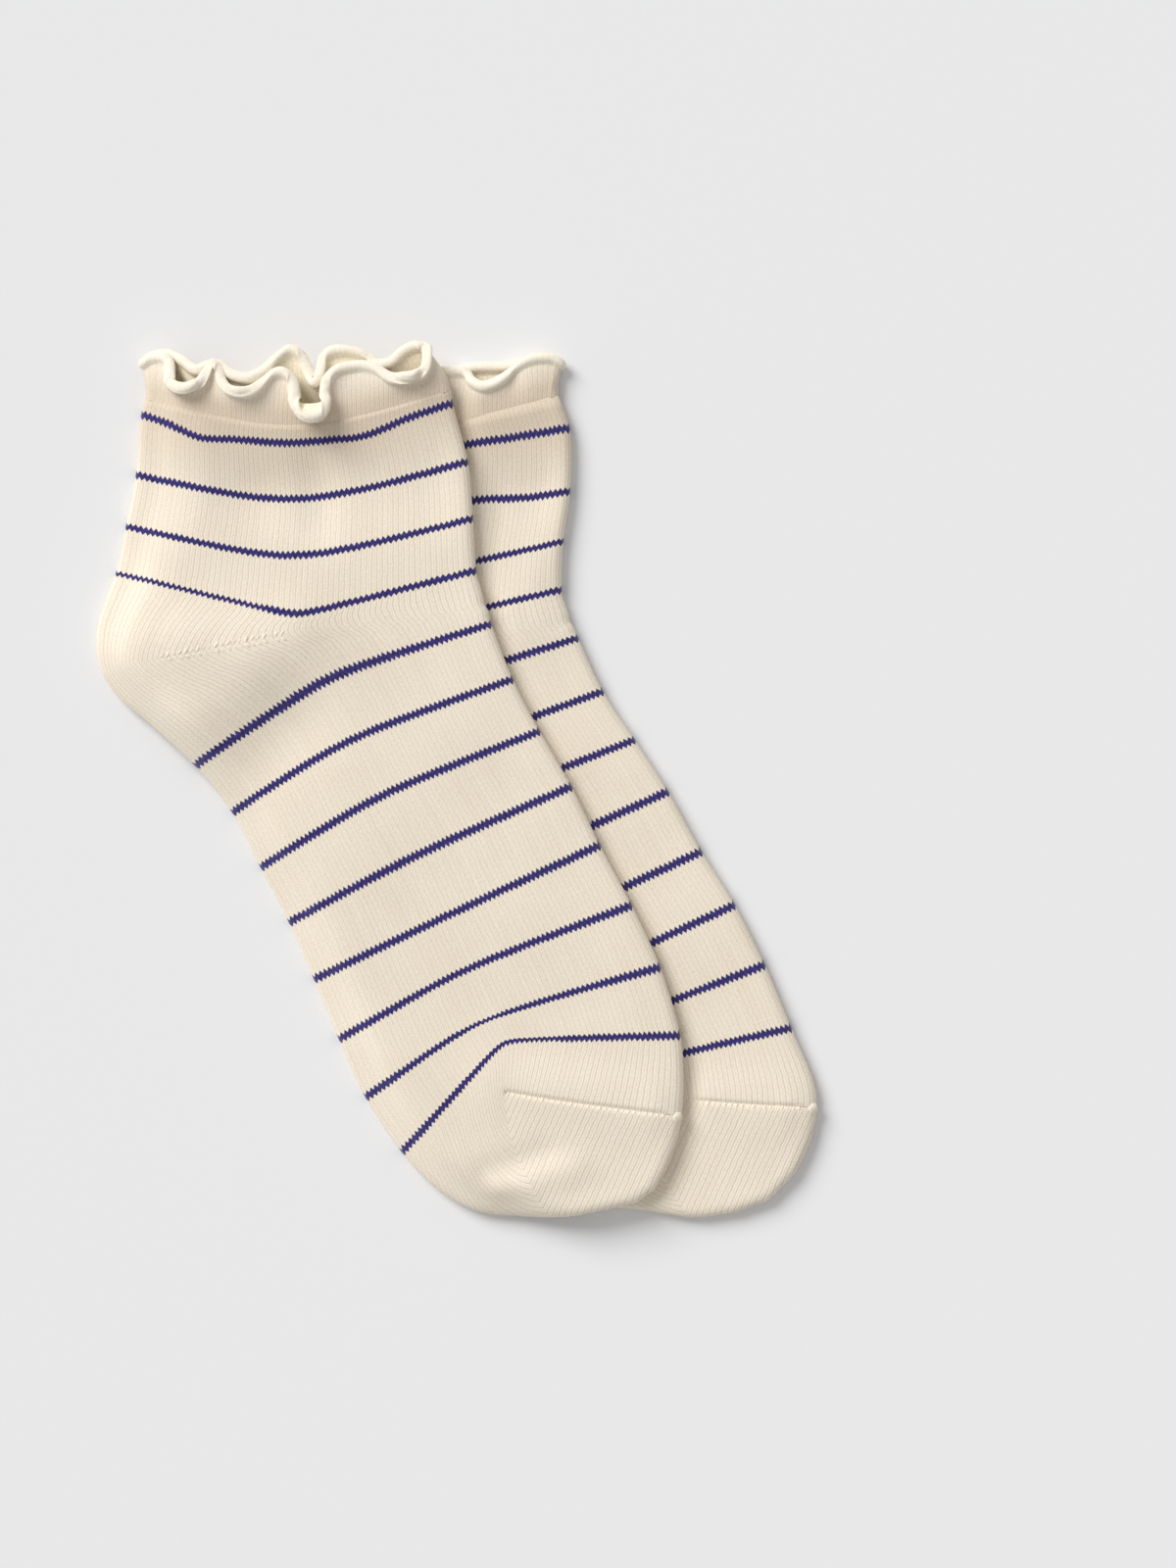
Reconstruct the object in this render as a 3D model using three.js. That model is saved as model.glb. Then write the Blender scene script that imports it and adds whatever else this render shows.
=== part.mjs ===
// A pair of knitted ankle socks with ruffled cuffs, laid flat, one sock lying partly over the other.
// Units are millimetres. +X runs from heel to instep, +Y up the leg, +Z away from the surface below.
// The origin is the middle of the pair, on that surface.
import * as THREE from "three";

// Driving dimensions
const WALL = 1.5; // one layer of knitted cloth
const FLAT_THICKNESS = 5; // a sock lying flat: two layers and the air between them
const SEAM_GAP = 0.45; // between the rim of a leg and its ruffle, 0.3 at the closest faces
const REST_GAP = 0.5; // between the two socks where they lie on each other
const RAMP = 14; // width of the strip where the top sock comes down beside the under sock
const RAMP_MARGIN = 3; // the top sock is fully lifted this far outside the under sock's outline
const ROLLED_EDGE = 2.2; // thickness of the ruffle at its rolled edge
const RUFFLE_REACH = 12; // how far the ruffle runs on straight up the leg before it curls

// How finely the cloth is divided
const COLUMNS = 12; // across one layer of a sock
const STEPS_PER_ROW = 2; // rings of a sock to each row of its table
const WAVE_STEPS = 2; // columns of a ruffle to each row of its table
const BAND_STEPS = 4; // from the rim to the rolled edge

const LIFT = FLAT_THICKNESS + REST_GAP;
const LEG_EXTENSION = 40; // the outline runs on above the rim, past the ruffle

// Each row is one course of knitting: where it meets the heel side, where it bends, where it meets
// the instep side, and how softly it bends. Courses are counted from the rim.
const TOP_SOCK_ROWS = [
  { course: 0, heel: [-93.5, 114.5], bend: [-49, 106], instep: [-1.5, 116.5], soft: 0.25 },
  { course: 5, heel: [-95, 109], bend: [-49, 100.5], instep: [-1, 112.5], soft: 0.25 },
  { course: 22, heel: [-96.5, 91.5], bend: [-49, 84], instep: [3.5, 95], soft: 0.2 },
  { course: 39, heel: [-99.5, 76], bend: [-49, 67], instep: [5, 78], soft: 0.15 },
  { course: 56, heel: [-102.5, 62], bend: [-47.5, 49.5], instep: [6, 62.5], soft: 0.06 },
  { course: 68, heel: [-108, 46], bend: [-48, 46], instep: [7, 58.5], soft: 0.08 },
  { course: 80, heel: [-107, 33], bend: [-48, 43.5], instep: [8, 55], soft: 0.08 },
  { course: 90, heel: [-100.5, 23.5], bend: [-47.5, 41], instep: [8.5, 52.5], soft: 0.08 },
  { course: 99, heel: [-91.5, 16], bend: [-45.5, 38], instep: [9.5, 50.5], soft: 0.08 },
  { course: 108, heel: [-78.5, 4], bend: [-38, 30], instep: [10.5, 46.5], soft: 0.1 },
  { course: 125, heel: [-67.5, -10], bend: [-33, 11], instep: [17, 30], soft: 0.15 },
  { course: 142, heel: [-59, -26.5], bend: [-23.5, -5.5], instep: [25, 14.5], soft: 0.15 },
  { course: 159, heel: [-50.5, -43], bend: [-14.5, -24], instep: [34.5, -2], soft: 0.15 },
  { course: 176, heel: [-43, -60], bend: [-6.5, -42.5], instep: [43, -19.5], soft: 0.15 },
  { course: 193, heel: [-35.5, -78], bend: [1.5, -57.5], instep: [52.5, -37.5], soft: 0.15 },
  { course: 210, heel: [-27.5, -95.5], bend: [5.5, -73.5], instep: [61, -56], soft: 0.12 },
  { course: 227, heel: [-16.5, -112], bend: [15, -79], instep: [67, -76.5], soft: 0.08 },
  { course: 240, heel: [-6.5, -122.5], bend: [18, -90], instep: [68, -90], soft: 0.1 },
  { course: 252, heel: [5.5, -129.5], bend: [23, -101.5], instep: [67.5, -100], soft: 0.1 },
  { course: 264, heel: [18.5, -131], bend: [30.5, -112], instep: [66, -108], soft: 0.1 },
  { course: 274, heel: [32, -131], bend: [41, -119.5], instep: [63, -116], soft: 0.1 },
  { course: 282, heel: [43, -129], bend: [49, -124.5], instep: [59.5, -122.5], soft: 0.1 },
];
const TOP_SOCK_TIP = [54, -126.5];

const UNDER_SOCK_ROWS = [
  { course: 0, heel: [-61.5, 106.5], bend: [-16.5, 105], instep: [30.5, 115.5], soft: 0.25 },
  { course: 5, heel: [-62.5, 100.5], bend: [-16.5, 98.5], instep: [34, 105.5], soft: 0.25 },
  { course: 22, heel: [-64, 82.5], bend: [-16.5, 80], instep: [34, 86.5], soft: 0.2 },
  { course: 39, heel: [-67.5, 67.5], bend: [-16.5, 62], instep: [32, 71.5], soft: 0.15 },
  { course: 56, heel: [-74, 54], bend: [-19.5, 46], instep: [31.5, 57], soft: 0.06 },
  { course: 68, heel: [-80.5, 39.5], bend: [-21, 41.5], instep: [32.5, 53], soft: 0.08 },
  { course: 80, heel: [-80.5, 27.5], bend: [-21, 39.5], instep: [33.5, 50], soft: 0.08 },
  { course: 90, heel: [-74, 18.5], bend: [-20.5, 37.5], instep: [34, 47.5], soft: 0.08 },
  { course: 99, heel: [-65, 11.5], bend: [-18.5, 34], instep: [35, 46], soft: 0.08 },
  { course: 108, heel: [-52, 0], bend: [-12, 26], instep: [36.5, 42.5], soft: 0.1 },
  { course: 125, heel: [-40.5, -14], bend: [-6, 7], instep: [44, 26.5], soft: 0.15 },
  { course: 142, heel: [-30, -29], bend: [5, -8], instep: [53.5, 12], soft: 0.15 },
  { course: 159, heel: [-21.5, -44.5], bend: [14.5, -26], instep: [63.5, -3.5], soft: 0.15 },
  { course: 176, heel: [-13, -62], bend: [24, -44.5], instep: [73.5, -21.5], soft: 0.15 },
  { course: 193, heel: [-4.5, -78.5], bend: [33.5, -60.5], instep: [83.5, -37.5], soft: 0.15 },
  { course: 210, heel: [4.5, -95], bend: [42.5, -75.5], instep: [92.5, -55.5], soft: 0.12 },
  { course: 227, heel: [17, -111], bend: [51, -87], instep: [100.5, -74.5], soft: 0.08 },
  { course: 240, heel: [29.5, -121], bend: [56.5, -93], instep: [107, -90], soft: 0.1 },
  { course: 252, heel: [43, -127.5], bend: [63.5, -101.5], instep: [108, -98.5], soft: 0.1 },
  { course: 264, heel: [57.5, -129.5], bend: [72, -111], instep: [106.5, -107.5], soft: 0.1 },
  { course: 274, heel: [71, -131.5], bend: [81.5, -119.5], instep: [102, -117.5], soft: 0.1 },
  { course: 282, heel: [83.5, -130], bend: [89.5, -124.5], instep: [97.5, -122.5], soft: 0.1 },
];
const UNDER_SOCK_TIP = [93.5, -126.5];

// The rolled edge of a ruffle, once round. Each row is a crest, a lobe that curls up, or a point
// between them: the share of the rim that it grows from (0 at the heel fold, a half at the instep
// fold, then back along the lower layer), its place, and its height above the sock's underside.
const TOP_RUFFLE_EDGE = [
  { share: 0, at: [-95, 126], height: 2.5 },
  { share: 0.018, at: [-90, 128], height: 4.2 },
  { share: 0.045, at: [-84.5, 126], height: 5.5 },
  { share: 0.06, at: [-87, 118.5], height: 10 },
  { share: 0.072, at: [-82, 114.5], height: 12 },
  { share: 0.09, at: [-76.5, 117.5], height: 10 },
  { share: 0.112, at: [-72.5, 126], height: 5 },
  { share: 0.13, at: [-70.5, 120], height: 8.5 },
  { share: 0.155, at: [-64.5, 115], height: 12 },
  { share: 0.185, at: [-58, 119], height: 8.5 },
  { share: 0.22, at: [-52.5, 123.5], height: 5.5 },
  { share: 0.243, at: [-47.5, 118], height: 9.5 },
  { share: 0.258, at: [-46.5, 109], height: 12.5 },
  { share: 0.27, at: [-43, 106], height: 13 },
  { share: 0.283, at: [-39.5, 109.5], height: 12.5 },
  { share: 0.298, at: [-41, 117.5], height: 10 },
  { share: 0.32, at: [-37, 124.5], height: 5.5 },
  { share: 0.35, at: [-30, 126], height: 4.2 },
  { share: 0.385, at: [-23, 125.5], height: 5.5 },
  { share: 0.41, at: [-19, 121], height: 9 },
  { share: 0.44, at: [-12, 118], height: 11.5 },
  { share: 0.465, at: [-8.5, 122.5], height: 8 },
  { share: 0.5, at: [-9, 130], height: 3.5 },
  { share: 0.53, at: [-17.5, 128.5], height: 1.3 },
  { share: 0.565, at: [-23, 125], height: 2 },
  { share: 0.6, at: [-29, 128.5], height: 1.4 },
  { share: 0.64, at: [-36, 129.5], height: 1.3 },
  { share: 0.68, at: [-42.5, 125], height: 4 },
  { share: 0.735, at: [-50, 129.5], height: 1.3 },
  { share: 0.8, at: [-57, 125], height: 2.5 },
  { share: 0.845, at: [-64, 121.5], height: 5 },
  { share: 0.89, at: [-72, 127], height: 1.4 },
  { share: 0.93, at: [-78.5, 122], height: 5 },
  { share: 0.97, at: [-86, 127], height: 1.3 },
];
const UNDER_RUFFLE_EDGE = [
  { share: 0, at: [-63, 118.5], height: 2.2 },
  { share: 0.05, at: [-52, 121.5], height: 3.8 },
  { share: 0.105, at: [-41, 117], height: 3.9 },
  { share: 0.17, at: [-29, 121], height: 3.8 },
  { share: 0.235, at: [-17, 117.5], height: 3.9 },
  { share: 0.29, at: [-8, 123], height: 3.9 },
  { share: 0.335, at: [2, 124], height: 4 },
  { share: 0.355, at: [5, 121], height: 6.5 },
  { share: 0.38, at: [8.5, 119.5], height: 8 },
  { share: 0.41, at: [13, 121.5], height: 7 },
  { share: 0.43, at: [17, 124.5], height: 4.5 },
  { share: 0.46, at: [22, 127.5], height: 4 },
  { share: 0.485, at: [28, 128], height: 3.5 },
  { share: 0.5, at: [31.5, 126], height: 2.5 },
  { share: 0.54, at: [23, 127], height: 1.3 },
  { share: 0.59, at: [14, 125.5], height: 1.7 },
  { share: 0.64, at: [4, 125], height: 1.3 },
  { share: 0.7, at: [-8, 122.5], height: 1.5 },
  { share: 0.76, at: [-20, 124], height: 1.3 },
  { share: 0.82, at: [-33, 121.5], height: 1.5 },
  { share: 0.88, at: [-45, 122], height: 1.3 },
  { share: 0.94, at: [-56, 120], height: 1.5 },
];

const mix = (a, b, t) => a + (b - a) * t;
const mixPoints = (a, b, t) => a.map((value, i) => mix(value, b[i], t));
const smooth = (t) => {
  const c = THREE.MathUtils.clamp(t, 0, 1);
  return c * c * (3 - 2 * c);
};

// A cubic through a table's rows. `at` are the rows' parameters and `values` their numbers.
function cubic(at, values, t) {
  const last = at.length - 1;
  let i = 0;
  while (i < last - 1 && t > at[i + 1]) i += 1;
  const slope = (k) => {
    const a = Math.max(k - 1, 0);
    const b = Math.min(k + 1, last);
    return (values[b] - values[a]) / (at[b] - at[a]);
  };
  const h = at[i + 1] - at[i];
  const u = (t - at[i]) / h;
  const bulge = u * (1 - u);
  const start = (1 + 2 * u) * (1 - u) ** 2 * values[i];
  const end = (3 - 2 * u) * u ** 2 * values[i + 1];
  return start + end + bulge * h * ((1 - u) * slope(i) - u * slope(i + 1));
}

// One course of a sock as a row of its table, at any count of courses.
function courseAt(rows, course) {
  const at = rows.map((row) => row.course);
  const value = (pick) => cubic(at, rows.map(pick), course);
  const point = (key) => [value((row) => row[key][0]), value((row) => row[key][1])];
  return {
    heel: point("heel"),
    bend: point("bend"),
    instep: point("instep"),
    soft: value((row) => row.soft),
  };
}

// A point on a course, from 0 at the heel side to 1 at the instep side: two straight stretches
// that meet in a soft bend.
function pointOnCourse(row, across) {
  const before = Math.hypot(row.bend[0] - row.heel[0], row.bend[1] - row.heel[1]);
  const after = Math.hypot(row.instep[0] - row.bend[0], row.instep[1] - row.bend[1]);
  const corner = before / (before + after);
  const turn = (x) => (x + Math.hypot(x, row.soft)) / 2;
  const startError = turn(-corner);
  const endError = turn(1 - corner) - (1 - corner);
  const turned = turn(across - corner) - mix(startError, endError, across);
  return row.heel.map((start, i) => {
    const first = (row.bend[i] - start) / corner;
    const second = (row.instep[i] - row.bend[i]) / (1 - corner);
    return start + first * across + (second - first) * turned;
  });
}

// The sock's outline seen from above, from over the heel side of the rim round the toe and back,
// open at the rim.
function outlineOf(sock) {
  const courses = ringCourses(sock.rows);
  const sides = courses.map((course) => courseAt(sock.rows, course));
  const heelSide = sides.map((row) => row.heel);
  const instepSide = sides.map((row) => row.instep).reverse();
  const above = ([x, y]) => [x, y + LEG_EXTENSION];
  return [above(heelSide[0]), ...heelSide, sock.tip, ...instepSide, above(instepSide.at(-1))];
}

function distanceToLine(line, [x, y]) {
  let least = Infinity;
  for (let i = 0; i < line.length - 1; i += 1) {
    const [ax, ay] = line[i];
    const [bx, by] = line[i + 1];
    const length2 = (bx - ax) ** 2 + (by - ay) ** 2;
    const t = THREE.MathUtils.clamp(((x - ax) * (bx - ax) + (y - ay) * (by - ay)) / length2, 0, 1);
    least = Math.min(least, Math.hypot(x - mix(ax, bx, t), y - mix(ay, by, t)));
  }
  return least;
}

function isInside(line, [x, y]) {
  let inside = false;
  for (let i = 0; i < line.length; i += 1) {
    const [ax, ay] = line[i];
    const [bx, by] = line[(i + 1) % line.length];
    if (ay > y !== by > y && x < mix(ax, bx, (y - ay) / (by - ay))) inside = !inside;
  }
  return inside;
}

// How high the top sock lies: on the surface, or up on the under sock, with a ramp between.
function liftOver(outline) {
  return (point) => {
    const distance = distanceToLine(outline, point);
    const signed = isInside(outline, point) ? distance : -distance;
    return LIFT * smooth((signed + RAMP_MARGIN + RAMP) / RAMP);
  };
}

function ringCourses(rows) {
  const courses = [];
  for (let i = 0; i < rows.length - 1; i += 1) {
    for (let k = 0; k < STEPS_PER_ROW; k += 1) {
      courses.push(mix(rows[i].course, rows[i + 1].course, k / STEPS_PER_ROW));
    }
  }
  courses.push(rows.at(-1).course);
  return courses;
}

// The height of a flat sock's skin at a point: `inset` into the cloth from the outer face, `side`
// 1 on the upper layer and -1 on the lower. The edges are half round.
function skinHeight(outline, point, side, inset) {
  const radius = FLAT_THICKNESS / 2 - inset;
  const depth = THREE.MathUtils.clamp(distanceToLine(outline, point) - inset, 0, radius);
  return FLAT_THICKNESS / 2 + side * Math.sqrt(radius ** 2 - (radius - depth) ** 2);
}

// One closed ring round the sock: along the upper layer from heel side to instep side, and back
// along the lower layer.
function ringOf(sock, course, inset) {
  const row = courseAt(sock.rows, course);
  const width = Math.hypot(row.instep[0] - row.heel[0], row.instep[1] - row.heel[1]);
  const margin = inset / width;
  const ring = [];
  for (let k = 0; k < 2 * COLUMNS; k += 1) {
    const side = k <= COLUMNS ? 1 : -1;
    const across = mix(margin, 1 - margin, (1 - Math.cos((Math.PI * k) / COLUMNS)) / 2);
    const point = pointOnCourse(row, across);
    const isFold = k % COLUMNS === 0;
    const height = isFold ? FLAT_THICKNESS / 2 : skinHeight(sock.outline, point, side, inset);
    ring.push([...point, height + sock.lift(point)]);
  }
  return ring;
}

// Joins rings of equal length into faces. Each ring may be followed by a last point that closes it.
function shellOf(rings, tips) {
  const positions = rings.flat();
  const size = rings[0].length;
  const faces = [];
  const quad = (a, b, c, d) => faces.push(a, b, c, a, c, d);
  for (let r = 0; r < rings.length - 1; r += 1) {
    if (tips.some((tip) => tip.after === r)) continue;
    for (let k = 0; k < size; k += 1) {
      const next = (k + 1) % size;
      quad(r * size + k, (r + 1) * size + k, (r + 1) * size + next, r * size + next);
    }
  }
  for (const tip of tips) {
    positions.push(tip.point);
    const ring = tip.ring * size;
    for (let k = 0; k < size; k += 1) {
      const next = (k + 1) % size;
      const edge = tip.ring === tip.after ? [ring + k, ring + next] : [ring + next, ring + k];
      faces.push(edge[0], positions.length - 1, edge[1]);
    }
  }
  const geometry = new THREE.BufferGeometry();
  geometry.setAttribute("position", new THREE.Float32BufferAttribute(positions.flat(), 3));
  geometry.setIndex(faces);
  geometry.computeVertexNormals();
  return geometry;
}

function lifted(sock, point) {
  return [point[0], point[1], FLAT_THICKNESS / 2 + sock.lift(point)];
}

// The leg, heel, foot and toe of a sock: the outer skin down to the toe, and the inner skin from
// the toe back up to the rim.
function sockGeometry(sock) {
  const courses = ringCourses(sock.rows);
  const innerCourses = courses.slice(0, -1);
  const outer = courses.map((course) => ringOf(sock, course, 0));
  const inner = innerCourses.map((course) => ringOf(sock, course, WALL));
  const rings = [...inner.reverse(), ...outer];
  const innerEnd = courseAt(sock.rows, innerCourses[0]);
  const innerTip = mixPoints(innerEnd.bend, sock.tip, 0.1);
  return shellOf(rings, [
    { ring: rings.length - 1, after: rings.length - 1, point: lifted(sock, sock.tip) },
    { ring: 0, after: -1, point: lifted(sock, innerTip) },
  ]);
}

// The middle of the rim's cloth, at a share of the way round.
function rimPoint(sock, share) {
  const row = courseAt(sock.rows, 0);
  const width = row.instep[0] - row.heel[0];
  const margin = WALL / 2 / width;
  const upper = share <= 0.5;
  const across = mix(margin, 1 - margin, upper ? 2 * share : 2 - 2 * share);
  const point = pointOnCourse(row, across);
  const height = skinHeight(sock.outline, point, upper ? 1 : -1, WALL / 2);
  return new THREE.Vector3(point[0], point[1] + SEAM_GAP, height);
}

// The edge of a ruffle as a closed curve through its table's rows.
function edgeAt(rows, t) {
  const count = rows.length;
  const i = Math.floor(t);
  const near = [-1, 0, 1, 2].map((k) => {
    const turns = Math.floor((i + k) / count);
    const row = rows[i + k - turns * count];
    return [row.share + turns, row.at[0], row.at[1], row.height];
  });
  const [share, x, y, z] = near[0].map((_, c) =>
    cubic([-1, 0, 1, 2], near.map((values) => values[c]), t - i),
  );
  return { share: share - Math.floor(share), point: new THREE.Vector3(x, y, z) };
}

// The middle surface of a ruffle: from the rim straight up the leg, then out to the rolled edge.
function ruffleMiddle(sock, edgeRows) {
  const bands = [];
  for (let b = 0; b <= BAND_STEPS; b += 1) bands.push([]);
  for (let k = 0; k < edgeRows.length * WAVE_STEPS; k += 1) {
    const edge = edgeAt(edgeRows, k / WAVE_STEPS);
    const base = rimPoint(sock, edge.share);
    const control = base.clone().lerp(edge.point, 0.5);
    control.y = base.y + RUFFLE_REACH;
    const curve = new THREE.QuadraticBezierCurve3(base, control, edge.point);
    for (let b = 0; b <= BAND_STEPS; b += 1) bands[b].push(curve.getPoint(b / BAND_STEPS));
  }
  return bands;
}

function bandNormal(bands, b, k) {
  const size = bands[b].length;
  const around = bands[b][(k + 1) % size].clone().sub(bands[b][(k + size - 1) % size]);
  const up = bands[Math.min(b + 1, BAND_STEPS)][k].clone().sub(bands[Math.max(b - 1, 0)][k]);
  return around.cross(up).normalize();
}

function ruffleGeometry(sock, edgeRows) {
  const bands = ruffleMiddle(sock, edgeRows);
  const skin = (side) =>
    bands.map((band, b) => {
      const half = (b === BAND_STEPS ? ROLLED_EDGE : WALL) / 2;
      return band.map((point, k) => {
        const moved = point.clone().addScaledVector(bandNormal(bands, b, k), side * half);
        const floor = b === 0 ? point.y : -Infinity;
        const place = [moved.x, Math.max(moved.y, floor)];
        return [...place, Math.max(moved.z, 0) + sock.lift(place)];
      });
    });
  const rings = [...skin(-1), ...skin(1).reverse()];
  return shellOf([...rings, rings[0]], []);
}

function clothMesh(name, geometry, colour) {
  const material = new THREE.MeshStandardMaterial({ color: colour, roughness: 0.95, metalness: 0 });
  const mesh = new THREE.Mesh(geometry, material);
  mesh.name = name;
  return mesh;
}

const CREAM = 0xe1d6c3;
const CREAM_RUFFLE = 0xe8ddc8;

const underSock = { rows: UNDER_SOCK_ROWS, tip: UNDER_SOCK_TIP, lift: () => 0 };
underSock.outline = outlineOf(underSock);
const topSock = { rows: TOP_SOCK_ROWS, tip: TOP_SOCK_TIP, lift: liftOver(underSock.outline) };
topSock.outline = outlineOf(topSock);

const pair = new THREE.Group();
pair.add(
  clothMesh("under_sock", sockGeometry(underSock), CREAM),
  clothMesh("under_sock_ruffle", ruffleGeometry(underSock, UNDER_RUFFLE_EDGE), CREAM_RUFFLE),
  clothMesh("top_sock", sockGeometry(topSock), CREAM),
  clothMesh("top_sock_ruffle", ruffleGeometry(topSock, TOP_RUFFLE_EDGE), CREAM_RUFFLE),
);
const middle = new THREE.Box3().setFromObject(pair).getCenter(new THREE.Vector3());
pair.position.set(-middle.x, -middle.y, 0);

export default pair;
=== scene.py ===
# A pair of knitted ankle socks with ruffled cuffs, laid flat, in cream with thin indigo stripes.
# Tables and sizes are in millimetres, and meshes are made in metres.
import math

import bpy
import numpy as np
from mathutils.kdtree import KDTree
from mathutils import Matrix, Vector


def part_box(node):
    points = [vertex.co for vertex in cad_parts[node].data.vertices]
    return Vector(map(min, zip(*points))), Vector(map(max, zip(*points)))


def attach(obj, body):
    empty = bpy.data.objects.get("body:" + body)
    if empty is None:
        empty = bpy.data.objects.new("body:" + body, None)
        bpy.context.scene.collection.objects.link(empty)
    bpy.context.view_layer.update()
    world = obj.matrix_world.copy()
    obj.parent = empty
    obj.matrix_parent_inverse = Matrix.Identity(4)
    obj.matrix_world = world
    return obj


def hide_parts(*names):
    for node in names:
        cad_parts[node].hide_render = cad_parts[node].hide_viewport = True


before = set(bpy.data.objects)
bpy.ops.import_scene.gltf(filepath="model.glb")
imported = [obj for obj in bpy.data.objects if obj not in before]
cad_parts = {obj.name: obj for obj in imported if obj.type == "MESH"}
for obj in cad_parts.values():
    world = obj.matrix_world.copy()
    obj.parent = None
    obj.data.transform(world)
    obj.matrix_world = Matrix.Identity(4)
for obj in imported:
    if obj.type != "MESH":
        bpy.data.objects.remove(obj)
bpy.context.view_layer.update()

MM = 0.001

# Cloth
WALL = 1.3  # one layer of the leg and foot
FLAT_THICKNESS = 5.0  # a sock lying flat
REST_GAP = 0.5  # between the socks
LIFT = FLAT_THICKNESS + REST_GAP
RAMP = 14.0  # where the top sock's lower layer comes down beside the under sock
RAMP_MARGIN = 3.0
SOFT_RAMP = 26.0  # the same for its upper layer, which bridges the step
SOFT_RAMP_MARGIN = -4.0
LEG_EXTENSION = 40.0  # a sock's outline runs on above its rim, past the ruffle
RUFFLE_WALL = 1.1
ROLLED_EDGE = 3.6  # thickness of the bead along the ruffle's edge
RUFFLE_START = 4.5  # how far the ruffle runs on level with the leg, past the rim
RUFFLE_REACH = 9.0  # and how far it goes before it curls over
RIM_RISE = 2.2  # how far the cloth swells up past the rim, into the ruffle
RIM_RISE_CENTRE = 8.0
RIM_RISE_WIDTH = 14.0
RIM_OVERLAP = 0.8  # how far the ruffle starts inside the rim
TUCKED = 0.12  # and how far its face lies under the leg's there
RUFFLE_MIDDLE = 0.6  # how far towards its edge the ruffle's curl is drawn
CLOSE_ROW = 0.005  # share of the ruffle's depth at its row nearest the rim
BEAD_UNEVEN = 0.1

# The flat cloth's unevenness, and where its relief fades out
UNEVEN = 0.25
UNEVEN_ACROSS = 9.0
UNEVEN_DOWN = 13.0
UNEVEN_SHIFT = 1.3
FOLD_FADE = 10.0
COVER_FADE = 8.0
SIDE_FADE = 12.0  # the upper layer's lift, over this width from its folds

# Seams
SEAM_DEPTH = 0.55
SEAM_WIDTH = 0.7

# Knitting
WALES = 66  # columns of stitches across one layer
MIDDLE = WALES / 2  # the wale where heel and toe are turned
STRIPE_EVERY = 17.0  # courses
FIRST_STRIPE = 5.0
LAST_STRIPE = 192.0
HALF_STRIPE = 1.0
HEEL_START = 56.0  # table courses
HEEL_TURN = 80.0
HEEL_END = 108.0
FOOT_END = 227.0
HEEL_EXTRA = 35.0  # table courses that the turned heel adds on its short side
PIVOT_COURSES = 7.0  # knitted courses from the heel's start to its pivot
COURSE_HEIGHT = 1.03
TURN_COURSES = 24.0  # short courses on each side of the heel's gore
HEEL_LEAN = 0.07  # how far the heel's wales lean, as a share of the sock's width
GORE_DROP = 16.0  # how far the toe's gore runs straight down before it bends away
TOE_LEAN = math.radians(66)  # the pocket's wales against the picture's width
POCKET_COURSE = 400  # at the pocket's seam, well past the last stripe
PAST_STRIPE = 3.5  # table courses that a stripe at the heel's start keeps below it
BEFORE_STRIPE = 5.0  # and the one at its end above it
THIN_FADE = 5.0  # wales over which a stripe grows thin

# Mesh steps, and the gaps that count as none
SAME_PLACE = 0.02
ON_THE_FOLD = 0.08
OUTLINE_STEPS = 14
RUFFLE_WAVE_STEPS = 9
RUFFLE_BAND_STEPS = 26
LONG_STEP = 1.7  # table courses
SHORT_STEP = 1.2
FOLD_STEPS = (0.15, 0.45)  # wales from a folded edge
TOE_ROWS = 26
FAN_ROWS = 44
CHUNK = 4000  # points whose distances are worked out at a time


def table(names, *rows):
    """A list of dictionaries: each row's values under the names at the table's head."""
    return [dict(zip(names.split(), row)) for row in rows]


TOP_ROWS = table(
    "course heel bend instep soft",
    (0, (-93.5, 114.5), (-49, 106), (-1.5, 116.5), 0.25),
    (5, (-95, 109), (-49, 100.5), (-1, 112.5), 0.25),
    (22, (-96.5, 91.5), (-49, 84), (3.5, 95), 0.2),
    (39, (-99.5, 76), (-49, 67), (5, 78), 0.15),
    (56, (-102.5, 62), (-47.5, 49.5), (6, 62.5), 0.03),
    (68, (-108, 46), (-48, 46), (7, 58.5), 0.08),
    (80, (-107, 33), (-48, 43.5), (8, 55), 0.08),
    (90, (-100.5, 23.5), (-47.5, 41), (8.5, 52.5), 0.08),
    (99, (-91.5, 16), (-45.5, 38), (9.5, 50.5), 0.08),
    (108, (-78.5, 4), (-38, 30), (10.5, 46.5), 0.1),
    (125, (-67.5, -10), (-33, 11), (17, 30), 0.15),
    (142, (-59, -26.5), (-23.5, -5.5), (25, 14.5), 0.15),
    (159, (-50.5, -43), (-14.5, -24), (34.5, -2), 0.15),
    (176, (-43, -60), (-6.5, -42.5), (43, -19.5), 0.15),
    (193, (-35.5, -78), (1.5, -57.5), (52.5, -37.5), 0.15),
    (210, (-27.5, -95.5), (5.5, -73.5), (61, -56), 0.12),
    (227, (-16.5, -112), (14.5, -78.5), (67, -76.5), 0.03),
    (240, (-6.5, -122.5), (18, -90), (68, -90), 0.1),
    (252, (5.5, -129.5), (23, -101.5), (67.5, -100), 0.1),
    (264, (18.5, -131), (30.5, -112), (66, -108), 0.1),
    (274, (32, -131), (41, -119.5), (63, -116), 0.1),
    (282, (43, -129), (49, -124.5), (59.5, -122.5), 0.1),
)
TOP_TIP = (54, -126.5)
TOP_TOE = {
    "pivot": (14.5, -93),
    "seam_bend": (30, -96),
    "gore_course": 271.0,
    "seam_course": 252.6,
    "turn_wale": 31,
}

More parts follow.
